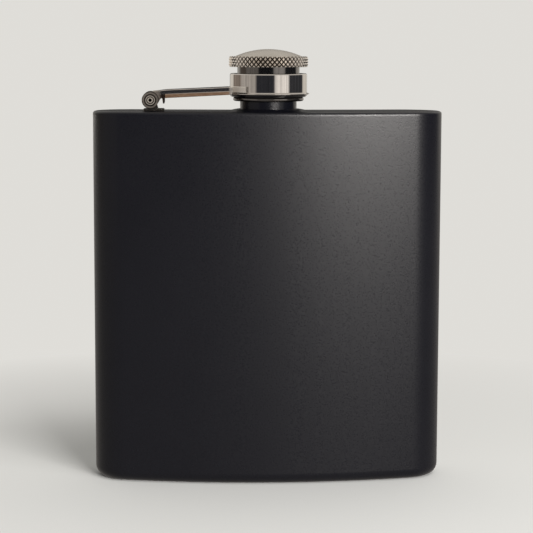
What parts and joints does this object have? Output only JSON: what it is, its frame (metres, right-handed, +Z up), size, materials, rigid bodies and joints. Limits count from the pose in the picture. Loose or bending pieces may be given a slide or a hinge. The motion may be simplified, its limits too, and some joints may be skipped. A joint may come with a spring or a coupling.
{
  "type": "hip flask",
  "caption": "Curved pocket hip flask in matt black steel, with a knurled screw cap held captive by a hinged steel arm.",
  "frame": {"origin": "on the floor, under the middle of the body's bounding box", "axes": "+Z up to the cap, -Y out of the convex front, +Y out of the concave back, -X towards the arm's hinge"},
  "size_m": [0.092, 0.0242, 0.1136],
  "materials": {
    "powder_coat": "matt, fine grain",
    "polished_steel": "polished",
    "satin_steel": "satin",
    "silicone": "matt"
  },
  "bodies": {
    "flask": {"body_sleeve": "powder_coat", "bottom_plate": "powder_coat", "top_plate": "powder_coat", "neck": "powder_coat", "hinge_bracket": "polished_steel", "hinge_rivet": "satin_steel", "hinge_washer_front": "satin_steel", "hinge_washer_back": "satin_steel"},
    "arm": {"arm": "polished_steel", "collar": "polished_steel"},
    "seal": {"cap_seal": "silicone"},
    "cap": {"cap_head": "satin_steel", "cap_dome": "satin_steel", "cap_sleeve": "polished_steel"}
  },
  "joints": [
    {"name": "arm_swing", "type": "hinge", "parent": "flask", "child": "arm", "pos_m": [-0.0308, -0.00118, 0.1004], "axis": [0, -1, 0], "range_deg": [0, 172]},
    {"name": "cap_rise", "type": "slide", "parent": "arm", "child": "seal", "axis": [0, 0, 1], "range_m": [0, 0.0035]},
    {"name": "cap_turn", "type": "hinge", "parent": "seal", "child": "cap", "pos_m": [0, -0.00118, 0.109], "axis": [0, 0, 1], "range_deg": [0, 719.9]}
  ],
  "couplings": [
    {"joint": "cap_rise", "follows": "cap_turn", "m_per_rad": 0.00027852}
  ]
}
